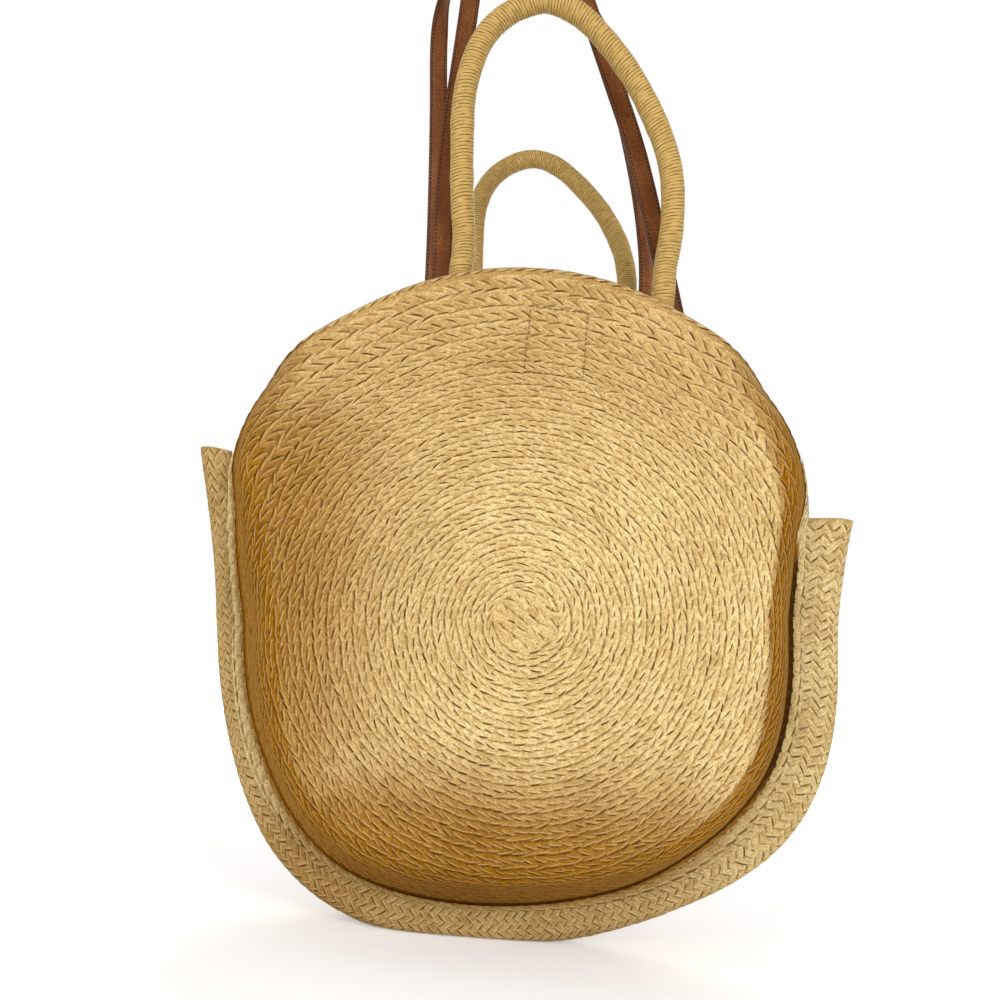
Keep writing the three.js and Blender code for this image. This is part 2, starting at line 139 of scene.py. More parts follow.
def seam_pull(angle):
    """How far the seam draws the panel's edge in: most on the right, less on the left and least below."""
    right = 7.0 * smoothstep(np.cos(angle), 0.45, 0.85) * smoothstep(-np.sin(angle), -0.52, -0.38)
    left = 5.0 * smoothstep(-np.cos(angle), 0.45, 0.85) * smoothstep(-np.sin(angle), -0.42, -0.25)
    below = 1.5 * smoothstep(-np.sin(angle), 0.3, 0.8)
    return right + left + below + dips(angle, SEAM_DIPS)


def panel_point(along, angle):
    """Middle of the front panel at a coil radius and direction: flat to the crease, round the bend, then
    straight back, drawn in at the seam, with the mouth leaning in by a power of the radius."""
    start = fold_start(angle)
    bent = np.clip((along - start) / BEND, 0, FOLD)
    straight = np.maximum(0, along - start - BEND * FOLD)
    radius = np.minimum(along, start) + BEND * np.sin(bent) + straight * math.cos(FOLD)
    drawn_in = seam_pull(angle) + dips(angle, SHOULDER_DIPS)
    radius = radius - drawn_in * smoothstep(along, 110, PANEL_RADIUS)
    back = BEND * (1 - np.cos(bent)) + straight * math.sin(FOLD)
    most_lean = DOME + MOUTH_LEAN * smoothstep(np.sin(angle), 0.5, 0.95)
    lean = most_lean * (np.maximum(along, 0) / PANEL_RADIUS) ** LEAN_POWER
    return stack(radius * np.cos(angle), back + lean - HALF_DEPTH, CENTRE + radius * np.sin(angle))


def off_panel(along, angle, out):
    """Panel point moved out along the normal, which is the cross product of the two surface steps."""
    least, step, sweep = 0.6, 0.5, 0.002
    along = np.maximum(along, least)
    outward = panel_point(along + step, angle) - panel_point(along - step, angle)
    turn = panel_point(along, angle + sweep) - panel_point(along, angle - sweep)
    return panel_point(along, angle) + unit(np.cross(outward, turn)) * np.asarray(out)[..., None]


def off_face(across, height, out):
    """Panel point by place across and height, for pieces that don't follow the coil."""
    return off_panel(np.hypot(across, height - CENTRE), np.arctan2(height - CENTRE, across), out)


def crest_radius(angle):
    """Widest outline of the gusset: a rounded square below, straight and slightly flared above, less its
    uneven places."""
    turned = angle - CREASE_TILT
    side, low = np.abs(np.cos(turned)), np.maximum(0, -np.sin(turned))
    flare = CREST_FLARE * (np.maximum(0, np.sin(angle)) / math.sin(math.radians(CREST_END))) ** 2
    square = (CREST_SIDE + flare) / (side ** CREST_POWER + low ** CREST_POWER) ** (1 / CREST_POWER)
    return square - dips(angle, CREST_DIPS)


def row_angle(row):
    """Direction of a row of the gusset, from its left end round below to its right end."""
    return np.radians(180 - GUSSET_END + row * ROW_STEP)


def gusset_point(row, share):
    """Middle of the gusset: at each row a bulge from the front seam to the back seam, on a power of sine and
    cosine."""
    angle = row_angle(row)
    lowest = math.radians(270)
    crest_angle = lowest + (angle - lowest) * ((90 + CREST_END) / (90 + GUSSET_END))
    edge = panel_point(np.full_like(angle, PANEL_RADIUS), angle)
    seam_x = edge[..., 0] + SEAM_OUT * np.cos(angle)
    seam_z = edge[..., 2] + SEAM_OUT * np.sin(angle)
    crest = crest_radius(crest_angle)
    turn = np.pi * np.clip(share, 0, 1)
    rise = np.abs(np.sin(turn)) ** BULGE_POWER
    cross = np.sign(np.cos(turn)) * np.abs(np.cos(turn)) ** BULGE_POWER
    x = seam_x + (crest * np.cos(crest_angle) + CREST_SHIFT - seam_x) * rise
    z = seam_z + (crest * np.sin(crest_angle) + CENTRE - seam_z) * rise
    return stack(x, (edge[..., 1] - GUSSET_HALF) * cross, z)


# Distance across the gusset at its middle row, by share of the bulge
ACROSS_SHARE = np.linspace(0, 1, 201)
ACROSS_RUN = run_of(gusset_point(np.full(201, GUSSET_ROWS / 2), ACROSS_SHARE))
GUSSET_WIDE = ACROSS_RUN[-1]


def off_gusset(row, across, out):
    """Gusset point by row and by distance across it, moved out along its normal and eased to flat at the
    floor by a hyperbola."""
    share = np.interp(across, ACROSS_RUN, ACROSS_SHARE)
    step = 0.01
    near = np.clip(share, step, 1 - step)
    over = gusset_point(row, near + step) - gusset_point(row, near - step)
    along = gusset_point(row + step, near) - gusset_point(row - step, near)
    point = gusset_point(row, share) + unit(np.cross(over, along)) * np.asarray(out)[..., None]
    high = point[..., 2] - FLOOR
    point[..., 2] = FLOOR + 0.5 * (high + np.sqrt(high ** 2 + FLOOR_EASE ** 2))
    return point


def spline(points, count):
    """Evenly spaced points of a natural cubic through the given ones, by chord length."""
    knots = run_of(points)
    gaps = np.diff(knots)
    n = len(points)
    system = np.eye(n)
    right = np.zeros_like(points)
    inner = np.arange(1, n - 1)
    system[inner, inner - 1] = gaps[:-1]
    system[inner, inner] = 2 * (gaps[:-1] + gaps[1:])
    system[inner, inner + 1] = gaps[1:]
    slope = np.diff(points, axis=0) / gaps[:, None]
    right[1:-1] = 6 * np.diff(slope, axis=0)
    curve = np.linalg.solve(system, right)

    def at(t):
        k = np.clip(np.searchsorted(knots, t) - 1, 0, n - 2)
        a = ((knots[k + 1] - t) / gaps[k])[:, None]
        b = 1 - a
        g = gaps[k][:, None] ** 2 / 6
        return a * points[k] + b * points[k + 1] + ((a ** 3 - a) * curve[k] + (b ** 3 - b) * curve[k + 1]) * g

    fine = at(np.linspace(0, knots[-1], 2000))
    run = run_of(fine)
    even = np.linspace(0, run[-1], count)
    return stack(*[np.interp(even, run, fine[:, c]) for c in range(points.shape[1])])


def tangents(path):
    """Unit direction of a path at each of its points."""
    return unit(np.gradient(path, axis=0))


def grid_faces(rows, columns, wrap):
    """Quads of a grid of points, closed round its columns when wrap is true."""
    i, j = np.meshgrid(np.arange(rows - 1), np.arange(columns if wrap else columns - 1), indexing="ij")
    k = (j + 1) % columns
    corners = [i * columns + j, i * columns + k, (i + 1) * columns + k, (i + 1) * columns + j]
    return np.stack(corners, -1).reshape(-1, 4)


def make(name, points, faces, material, uv=None, weld=False, **values):
    """Puts points, quads, UVs and per-point values into one mesh at the origin, in metres."""
    mesh = bpy.data.meshes.new(name)
    points = points.reshape(-1, 3) * MM
    mesh.vertices.add(len(points))
    mesh.vertices.foreach_set("co", points.astype(np.float32).ravel())
    mesh.loops.add(faces.size)
    mesh.loops.foreach_set("vertex_index", faces.astype(np.int32).ravel())
    mesh.polygons.add(len(faces))
    mesh.polygons.foreach_set("loop_start", np.arange(0, faces.size, faces.shape[1], dtype=np.int32))
    mesh.update(calc_edges=True)
    for key, value in values.items():
        layer = mesh.attributes.new(key, "FLOAT", "POINT")
        layer.data.foreach_set("value", np.ravel(value).astype(np.float32))
    if uv is not None:
        corner = np.empty(len(mesh.loops), dtype=np.int32)
        mesh.loops.foreach_get("vertex_index", corner)
        layer = mesh.uv_layers.new(name="weave")
        layer.data.foreach_set("uv", uv.reshape(-1, 2)[corner].astype(np.float32).ravel())
    if weld:
        work = bmesh.new()
        work.from_mesh(mesh)
        bmesh.ops.remove_doubles(work, verts=work.verts, dist=1e-6)
        bmesh.ops.recalc_face_normals(work, faces=work.faces)
        work.to_mesh(mesh)
        work.free()
    mesh.polygons.foreach_set("use_smooth", np.ones(len(mesh.polygons), dtype=bool))
    mesh.materials.append(material)
    obj = bpy.data.objects.new(name, mesh)
    bpy.context.collection.objects.link(obj)
    return obj


LEAF_TIP, LEAF_TAPER = 0.04, 0.6
CROWN_ACROSS, CROWN_ALONG, CROWN_DROP = 3, 2.6, 0.8


def leaves(place, count, long, wide, slant, lift, sink, tip=0.0, nose=2.4, turn=1.0, rows=5, columns=4,
           roll=0.0, covered=0.0):
    """Slanted leaf strips: each narrows to both ends, is crowned across and along, and may roll to one edge.
    place gets each strip's steps along and across the row and its height, and gives points.
    UV holds the place along the strip, plus an even number of its own, and the place across it, from 0 where
    the neighbour that covers part of the strip ends to 1 at the raised edge."""
    over = np.array([-1, -0.6, 0.6, 1]) if columns == 4 else np.linspace(-1, 1, columns)
    u, v = np.meshgrid(np.linspace(-1, 1, rows), over, indexing="ij")

    def per(value):
        return np.broadcast_to(np.asarray(value, float), (count,))[:, None, None]

    narrow = np.maximum(1 - np.abs(u) ** per(nose), LEAF_TIP) ** LEAF_TAPER
    a = per(long) / 2 * u
    b = per(wide) / 2 * v * narrow
    along = a * np.cos(per(slant)) - b * np.sin(per(slant))
    across = a * np.sin(per(slant)) + b * np.cos(per(slant))
    crown = (1 - np.abs(v) ** CROWN_ACROSS) * (1 - CROWN_DROP * np.abs(u) ** CROWN_ALONG)
    height = per(sink) + per(lift) * crown + per(tip) * u + per(roll) * v
    points = place(along, across, height)
    size = rows * columns
    base = grid_faces(rows, columns, False)
    if turn < 0:
        base = base[:, ::-1]
    faces = (base[None] + (np.arange(count) * size)[:, None, None]).reshape(-1, 4)
    tint = np.broadcast_to(rng.random((count, 1, 1)), points.shape[:3])
    own = 2.0 * rng.integers(0, 60, (count, 1, 1))
    shown = (0.5 + 0.5 * v - per(covered)) / (1 - per(covered))
    uv = stack(0.5 + 0.48 * u + own, shown + 0 * own)
    return points, faces, uv, tint


# Materials

def colour(r, g, b):
    """Linear colour of an sRGB colour given as 0 to 255."""
    c = np.array([r, g, b]) / 255
    return (*np.where(c <= 0.04045, c / 12.92, ((c + 0.055) / 1.055) ** 2.4), 1.0)


# Brown laid on the straw, partly its own brown and partly painted shade.
BROWN_AND_SHADE_TINT = colour(174, 136, 48)
# Painted highlight along the strips' raised edges.
RIDGE_HIGHLIGHT = colour(250, 228, 176)
# Painted shade of the thin line between strips where the straw is browned.
LINE_SHADE_IN_BROWN = colour(84, 50, 14)
# Painted shadow of the seam's crevice, nearly black.
SEAM_SHADOW = colour(50, 27, 9)


def finish(name, rough, gloss=0.12, sheen=0.0):
    """A new material, its node tree and its main shader."""
    material = bpy.data.materials.new(name)
    material.use_nodes = True
    shader = material.node_tree.nodes["Principled BSDF"]
    shader.inputs["Roughness"].default_value = rough
    shader.inputs["Specular IOR Level"].default_value = gloss
    shader.inputs["Sheen Weight"].default_value = sheen
    return material, material.node_tree, shader


def feed(tree, socket, value):
    """Links a socket to another node's output, or sets it to a plain value."""
    if hasattr(value, "is_linked"):
        tree.links.new(value, socket)
    else:
        socket.default_value = value


def node(tree, kind, inputs=(), **settings):
    """A new node with its settings and inputs."""
    made = tree.nodes.new(kind)
    for key, value in settings.items():
        setattr(made, key, value)
    for key, value in dict(inputs).items():
        feed(tree, made.inputs[key], value)
    return made


def sums(tree, operation, *values):
    """Result of one step of arithmetic in the node tree."""
    return node(tree, "ShaderNodeMath", dict(enumerate(values)), operation=operation).outputs[0]


def noise(tree, where, scale, detail):
    """Value of a soft noise at the given coordinates."""
    inputs = {"Vector": where, "Scale": scale, "Detail": detail}
    return node(tree, "ShaderNodeTexNoise", inputs).outputs["Fac"]


def stretched(tree, where, scale):
    """Coordinates scaled on each axis."""
    return node(tree, "ShaderNodeMapping", {"Vector": where, "Scale": scale}).outputs["Vector"]


def coat(tree, shader, body, height, strength, distance):
    """Gives a shader its colour and a fine bump."""
    tree.links.new(body, shader.inputs["Base Color"])
    bump = node(tree, "ShaderNodeBump", {"Height": height, "Strength": strength, "Distance": distance})
    tree.links.new(bump.outputs["Normal"], shader.inputs["Normal"])


def mix(tree, share, first, second, blend="MIX"):
    """Mixes two colours by a share."""
    made = node(tree, "ShaderNodeMix", data_type="RGBA", blend_type=blend)
    for index, value in ((0, share), (6, first), (7, second)):
        feed(tree, made.inputs[index], value)
    return made.outputs[2]


def ramp(tree, value, stops):
    """Colour by value, between the given stops."""
    made = node(tree, "ShaderNodeValToRGB", {"Fac": value})
    elements = made.color_ramp.elements
    while len(elements) < len(stops):
        elements.new(0.5)
    for element, (place, shade) in zip(elements, stops):
        element.position = place
        element.color = shade
    return made.outputs["Color"]


def band(tree, value, low, high):
    """Smooth step of a value from 0 at low to 1 at high, whichever of the two is the larger."""
    made = node(tree, "ShaderNodeMapRange", {"Value": value, "From Min": low, "From Max": high},
                interpolation_type="SMOOTHSTEP")
    return made.outputs["Result"]


def times(tree, *values):
    """Product of all the values."""
    product = values[0]
    for value in values[1:]:
        product = sums(tree, "MULTIPLY", product, value)
    return product


def attribute(tree, name):
    """Value that a mesh holds at each of its points."""
    return node(tree, "ShaderNodeAttribute", attribute_name=name).outputs["Fac"]


def patchy(tree, shade, scale, low, high):
    """Soft tone changes over the object, from a noise on its own coordinates."""
    where = node(tree, "ShaderNodeTexCoord").outputs["Object"]
    tone = ramp(tree, noise(tree, where, scale, 2.0), [(0.35, (*low, 1)), (0.65, (*high, 1))])
    return mix(tree, 1.0, shade, tone, "MULTIPLY")


def straw(name, pale, middle, deep, rough=0.6):
    """Dried leaf strips: fine streaks along each strip, a thin line of painted shade along its raised edge
    with a painted highlight beside it, and a brown, partly the straw's own and partly painted shade, that
    turns to a nearly black painted shadow where its value passes one."""
    material, tree, shader = finish(name, rough, gloss=0.0)
    where = node(tree, "ShaderNodeUVMap", uv_map="weave").outputs["UV"]
    split = node(tree, "ShaderNodeSeparateXYZ", {"Vector": where})
    along = sums(tree, "FRACT", split.outputs["X"])
    across = split.outputs["Y"]
    tint = attribute(tree, "tint")
    streak = noise(tree, stretched(tree, where, (2.0, 6.0, 1.0)), 1.0, 4.0)
    body = ramp(tree, tint, [(0.0, middle), (0.6, pale), (1.0, pale)])
    streaks = ramp(tree, streak, [(0.34, (0.70, 0.65, 0.56, 1)), (0.56, (1, 1, 1, 1))])
    body = mix(tree, 0.8, body, mix(tree, 1.0, body, streaks, "MULTIPLY"))
    body = patchy(tree, body, 16.0, (0.88, 0.84, 0.76), (1.03, 1.03, 1.03))
    body = patchy(tree, body, 420.0, (0.84, 0.80, 0.72), (1.08, 1.08, 1.08))
    body = patchy(tree, body, 1100.0, (0.76, 0.72, 0.62), (1.12, 1.12, 1.12))
    own = sums(tree, "FRACT", times(tree, tint, 7.3))
    depth = node(tree, "ShaderNodeMapRange", {"Value": own, "To Min": 0.45, "To Max": 1.0}).outputs["Result"]
    # Brown and painted shade, from each point's brown and shade value.
    toasted = attribute(tree, "toast")
    body = mix(tree, band(tree, toasted, 0.0, 1.0), body, mix(tree, 1.0, body, BROWN_AND_SHADE_TINT, "MULTIPLY"))
    # Painted highlight: a pale line beside each strip's raised edge.
    ridge = times(tree, band(tree, across, 0.46, 0.62), band(tree, across, 0.78, 0.68), 0.4)
    body = mix(tree, ridge, body, mix(tree, 0.5, body, RIDGE_HIGHLIGHT))
    # Painted shade: a thin dark line by each strip's raised edge, where it meets its neighbour.
    middle_part = times(tree, band(tree, along, 0.12, 0.32), band(tree, along, 0.88, 0.64))
    line = times(tree, band(tree, across, 0.70, 0.86), middle_part, depth)
    body = mix(tree, line, body, mix(tree, band(tree, toasted, 0.3, 1.0), deep, LINE_SHADE_IN_BROWN))
    # Painted shadow: nearly black where the brown and shade value passes one, at the seam.
    body = mix(tree, band(tree, toasted, 1.0, 2.0), body, SEAM_SHADOW)
    coat(tree, shader, body, streak, 0.35, 0.0006)
    return material


def wound(name, pale, middle, deep, rough=0.5):
    """Raffia turns: UV counts the turns, so painted shade darkens the groove at every whole number, in soft
    patches, with fine fibres along the turns."""
    material, tree, shader = finish(name, rough, gloss=0.15, sheen=0.05)
    where = node(tree, "ShaderNodeUVMap", uv_map="weave").outputs["UV"]
    count = node(tree, "ShaderNodeSeparateXYZ", {"Vector": where}).outputs["X"]
    place = sums(tree, "FRACT", count)
    fibre = noise(tree, stretched(tree, where, (4.0, 1.2, 1.0)), 1.0, 3.0)
    wear_and_groove_shade = noise(tree, stretched(tree, where, (0.9, 0.9, 1.0)), 1.0, 1.0)
    body = ramp(tree, fibre, [(0.32, middle), (0.58, pale)])
    # Painted shade in the grooves between the turns, in soft patches.
    groove = sums(tree, "MAXIMUM", band(tree, place, 0.22, 0.03), band(tree, place, 0.82, 0.98))
    body = mix(tree, times(tree, groove, band(tree, wear_and_groove_shade, 0.30, 0.58)), body, deep)
    coat(tree, shader, body, fibre, 0.4, 0.0005)
    return material


def hide(name, shade, wear_and_groove_shade, dark, rough=0.42):
    """Smooth cowhide: soft patches of wear, fine grain in colour and bump, and dark cut edges."""
    material, tree, shader = finish(name, rough)
    where = node(tree, "ShaderNodeTexCoord").outputs["Object"]
    wear = noise(tree, where, 45.0, 3.0)
    grain = noise(tree, where, 900.0, 2.0)
    body = ramp(tree, wear, [(0.35, shade), (0.65, wear_and_groove_shade)])
    body = mix(tree, times(tree, band(tree, grain, 0.55, 0.38), 0.45), body, dark)
    body = mix(tree, times(tree, band(tree, attribute(tree, "edge"), 0.78, 0.96), 0.8), body, dark)
    coat(tree, shader, body, grain, 0.4, 0.0004)
    return material


def plain(name, shade, rough, metal=0.0):
    """Small even pieces: one colour with a fine tone change over the piece."""
    material, tree, shader = finish(name, rough)
    body = patchy(tree, shade, 350.0, (0.82, 0.80, 0.78), (1.08, 1.08, 1.08))
    tree.links.new(body, shader.inputs["Base Color"])
    shader.inputs["Metallic"].default_value = metal
    return material


# The third colour of each straw is the painted shade of the thin line between its strips.
coil_straw = straw("coil straw", colour(239, 214, 160), colour(224, 195, 138), colour(84, 52, 16))
band_straw = straw("band straw", colour(240, 218, 166), colour(226, 200, 145), colour(104, 72, 32))
# Straw under the gusset's pads, darker than they are, so the gaps between them show as painted shade.
gap_shade_straw = plain("under straw", colour(196, 160, 98), 0.9)
raffia = wound("raffia", colour(200, 167, 98), colour(170, 133, 66), colour(78, 48, 12))
leather = hide("leather", colour(108, 60, 26), colour(126, 76, 40), colour(58, 28, 10))
stitch_thread = plain("stitch thread", colour(44, 22, 12), 0.7)
sewing = plain("sewing", colour(164, 132, 80), 0.8)
patch_sewing = plain("patch sewing", colour(128, 92, 44), 0.8)
steel = plain("steel", colour(190, 190, 190), 0.3, 1.0)


# Panels

CORE_LONG, CORE_WIDE = 16.5, 13.5
PAD_STEP = 1.75
SLANTS = (0.27, -0.09)


def coil_pitch(s):
    """Width of half a plait by coil radius: fine in the middle, wider towards the rim."""
    return 3.1 + 0.3 * smoothstep(s, 20, 60) + 2.0 * smoothstep(s, 125, 195)


def plait_rows():
    """Pads of the two halves of a plait that is coiled from the core to the rim: radius, direction and slant
    of each, at steps along the coil in proportion to the plait's width."""
    s = np.linspace(CORE_WIDE, PANEL_RADIUS + 14, 6000)
    pitch = coil_pitch(s)
    half = np.concatenate([[0], np.cumsum(np.diff(s) / pitch[1:])])
    pads = np.concatenate([[0], np.cumsum(np.pi * s[1:] * np.diff(half) / (PAD_STEP * pitch[1:]))])
    radius, angle, slant = [], [], []
    for start in (0, 1):
        at = np.interp(np.arange(int(pads[-1])) + 0.5 * start, pads, s)
        radius.append(at)
        angle.append(np.pi * (np.interp(at, s, half) - start))
        slant.append(SLANTS[start] * (1 + smoothstep(at, 110, 185)))
    radius, angle, slant = (np.concatenate(x) for x in (radius, angle, slant))
    kept = radius < PANEL_RADIUS - 1.5
    return radius[kept], angle[kept], slant[kept]


pad_s, pad_angle, pad_slant = plait_rows()
pad_pitch = coil_pitch(pad_s)
PADS = len(pad_s)


def toast_at(s, angle):
    """Value of brown and painted shade by coil radius and direction: the brown of the strip behind the crease,
    partly the straw's own brown and partly painted shade, sharp on the right and soft on the left; painted
    shade towards the left, the bottom and the mouth of the face; and, past one, the painted shadow of the
    seam's crevice."""
    x, z, up = s * np.cos(angle), s * np.sin(angle), np.sin(angle - CREASE_TILT)
    left, high = smoothstep(-x, 20, 130), smoothstep(z, 60, 140)
    soft = np.maximum(left * smoothstep(z, -90, -40), high)
    # Brown of the folded strip, partly the straw's own and partly painted shade.
    strip = smoothstep(s - fold_start(angle), 3 - 16 * soft, 11) * (1 - 0.45 * smoothstep(up, 0.4, 0.8))
    # Painted shade: darker towards the left, the bottom and the mouth of the face.
    low_painted_shade, top_painted_shade = 0.88 * smoothstep(-z, 40, 120), 0.44 * smoothstep(z, 30, 150)
    painted_shade = np.maximum.reduce([0.80 * left * (1 - 0.6 * high), low_painted_shade, top_painted_shade])
    # Painted shadow in the seam's crevice, carried past one.
    seam_shadow = 0.6 * smoothstep(s, PANEL_RADIUS - 12, PANEL_RADIUS - 5) * smoothstep(-up, -0.3, -0.15)
    return np.maximum(strip, painted_shade) + seam_shadow * (1 - 0.7 * left)


def coil(name, side, face):
    """Pads of the coiled plait on the outer (face 1) or inner (face -1) side of a panel."""
    s, angle, pitch = (x[:, None, None] for x in (pad_s, pad_angle, pad_pitch))
    jitter = rng.normal(0, 1, (6, PADS))
    shift = (jitter[4] * 0.12 * pad_pitch)[:, None, None]
    inset = (jitter[5] * 0.07 * pad_pitch)[:, None, None]
    kept = {}

    def place(along, across, height):
        where = angle + (along + shift) / np.maximum(s, 6)
        reach = np.minimum(s + across + inset, PANEL_RADIUS - 1) + along * pitch / (np.pi * s)
        # Brown and painted shade on the outer face only.
        kept["toast"] = toast_at(reach, where) if face > 0 else np.zeros_like(reach)
        return off_panel(reach, where, face * height)

    steep = pad_slant > 0
    long = pad_pitch * 2.6 * (1 + 0.10 * jitter[0])
    wide = pad_pitch * np.where(steep, 1.25, 1.15) * (1 + 0.08 * jitter[1])
    slant = pad_slant + 0.10 * jitter[2]
    lift = 0.10 + 0.03 * pad_pitch + 0.25 * smoothstep(pad_pitch, 3.6, 5.2)
    sink = np.where(steep, 0.85, 1.05) + 0.05 * jitter[3]
    roll = np.where(steep, 0.10, 0.06) + 0.05 * pad_pitch
    points, faces, uv, tint = leaves(
        place, PADS, long, wide, slant, lift, sink, tip=0.10, nose=np.where(steep, 5, 3.4), turn=face * side,
        rows=6, columns=5, roll=roll, covered=np.where(steep, 0.20, 0.06))
    points = mirrored(points, side)
    obj = make(name, points, faces, coil_straw, uv, tint=tint, toast=kept["toast"])
    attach(obj, "bag")


def core(name, side, face):
    """Folded start of the plait in the middle of the coil: rows of larger pads that fill an oval set askew."""
    rows, per_row, askew = 6, 5, -0.6
    m, k = np.meshgrid(np.arange(rows), np.arange(per_row), indexing="ij")
    count = rows * per_row
    y = ((m + 0.5) / rows * 2 - 1).ravel()
    x = ((k + 0.5 + 0.25 * (m % 2)) / per_row * 2 - 1).ravel() * np.sqrt(np.maximum(1 - y ** 2, 0.1))
    jitter = rng.normal(0, 1, (5, count))
    x = (CORE_LONG * x + 0.5 * jitter[3])[:, None, None]
    y = (CORE_WIDE * y + 0.4 * jitter[4])[:, None, None]

    def place(along, across, height):
        a, b = x + along, y + across
        across_face = a * math.cos(askew) - b * math.sin(askew)
        up_face = a * math.sin(askew) + b * math.cos(askew)
        return off_face(across_face, CENTRE + up_face, face * height)

    long, wide = 10.5 * (1 + 0.15 * jitter[0]), 5.0 * (1 + 0.12 * jitter[1])
    slant = np.where(m.ravel() % 2, 0.30, -0.30) + 0.15 * jitter[2]
    points, faces, uv, tint = leaves(
        place, count, long, wide, slant, lift=0.7, sink=0.9 + 0.12 * jitter[3], tip=0.15, nose=3.4,
        turn=face * side, rows=6, columns=5, roll=0.15, covered=0.25)
    points = mirrored(points, side)
    obj = make(name, points, faces, coil_straw, uv, tint=tint, toast=np.full_like(tint, 0.1))
    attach(obj, "bag")


def panel_shell(name, side):
    """Closed shell under the pads, seen through the gaps between them: on its outside the same brown and
    painted shade as they have, and everywhere at least a painted shade that darkens those gaps; a profile out
    over the front, round the edge and back over the inside, spun round the coil."""
    half, least_toast = 0.8, 0.35
    face = np.concatenate([[0.0], np.linspace(8, PANEL_RADIUS - 8, 42)])
    reach = np.concatenate([face, PANEL_RADIUS - np.array([5.5, 2.5, 0.8])])
    reach = np.concatenate([reach, reach[::-1]])
    out = np.concatenate([np.full(len(face), half), [1.9, 2.0, 1.0]])
    out = np.concatenate([out, -out[::-1]])
    angle = np.radians(np.arange(0, 360, 3.0))
    at, where, lift = np.broadcast_arrays(reach[:, None], angle, out[:, None])
    points = off_panel(at, where, lift)
    # Painted shade at least everywhere, to darken the gaps between the pads.
    toast = np.where(lift > 0, np.maximum(toast_at(at, where), least_toast), least_toast)
    points[0] = [0, -HALF_DEPTH - half, CENTRE]
    points[-1] = [0, -HALF_DEPTH + half, CENTRE]
    points = mirrored(points, side)
    faces = grid_faces(len(reach), len(angle), True)
    obj = make(name, points, faces, coil_straw, stack(0 * at, 0 * at), weld=True, tint=0 * at, toast=toast)
    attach(obj, "bag")
    return obj


def rim(name, side):
    """Plait that rolls over the panel's edge: pads on a half round about the edge line, in two rows."""
    count = int(2 * np.pi * PANEL_RADIUS / 8.0)
    angle = np.repeat(np.arange(count) * 2 * np.pi / count, 2) + np.tile([0, np.pi / count], count)
    middle = np.tile([0.55, -0.55], count)
    angle, middle = angle[:, None, None], middle[:, None, None]
    kept = {}

    def place(along, across, height):
        where = angle + along / PANEL_RADIUS
        about = middle * 1.35 + across / 3.4
        reach = PANEL_RADIUS - 3.4 + (2.6 + height) * np.cos(about)
        # Brown and painted shade of the panel carried onto the rim, with the painted seam shadow; held lower
        # towards the mouth, where only one side of the roll is browned.
        above = smoothstep(np.sin(where - CREASE_TILT), 0.15, 0.4)
        toast = np.minimum(toast_at(reach, where), 1.6 - 1.2 * above)
        kept["toast"] = toast * np.maximum(about > -0.6, 1 - above)
        return off_panel(reach, where, (2.2 + height) * np.sin(about))

    jitter = rng.normal(0, 1, (2, 2 * count))
    slant = np.tile([0.42, -0.42], count) + 0.05 * jitter[1]
    points, faces, uv, tint = leaves(
        place, 2 * count, 12 * (1 + 0.05 * jitter[0]), 6.6, slant, lift=0.7, sink=-0.3, tip=0.2, nose=3.0,
        turn=side, roll=0.30, covered=0.45)
    points = mirrored(points, side)
    obj = make(name, points, faces, coil_straw, uv, tint=tint, toast=kept["toast"])
    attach(obj, "bag")
    return obj


for side, which in ((-1, "front"), (1, "back")):
    shell = panel_shell(f"{which}_panel_shell", side)
    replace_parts(shell, f"{which}_panel")
    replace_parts(rim(f"{which}_rim_braid", side), f"{which}_rim_plait")
    for face, where in ((1, ""), (-1, "_inside")):
        coil(f"{which}_coil{where}", side, face)
        core(f"{which}_core{where}", side, face)


# Gusset

def gusset_shell():
    """Closed shell under the gusset's pads: a ring over the outside and back along the inside at each row,
    closed at both ends."""
    half = 40
    across = np.concatenate([np.linspace(0, GUSSET_WIDE, half), np.linspace(GUSSET_WIDE, 0, half)])
    out = np.concatenate([np.full(half, 0.9), np.full(half, -1.2)])
    row = np.concatenate([[GUSSET_FROM], np.linspace(GUSSET_FROM, GUSSET_TO, 120), [GUSSET_TO]])
    points = off_gusset(row[:, None] + 0 * across, across + 0 * row[:, None], out + 0 * row[:, None])
    middle = 0.5 * (points[:, :half] + points[:, :half - 1:-1])
    points[0] = np.concatenate([middle[0], middle[0][::-1]])
    points[-1] = np.concatenate([middle[-1], middle[-1][::-1]])
    obj = make("gusset_shell", points, grid_faces(len(row), 2 * half, True), gap_shade_straw, weld=True)
    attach(obj, "bag")
    return obj


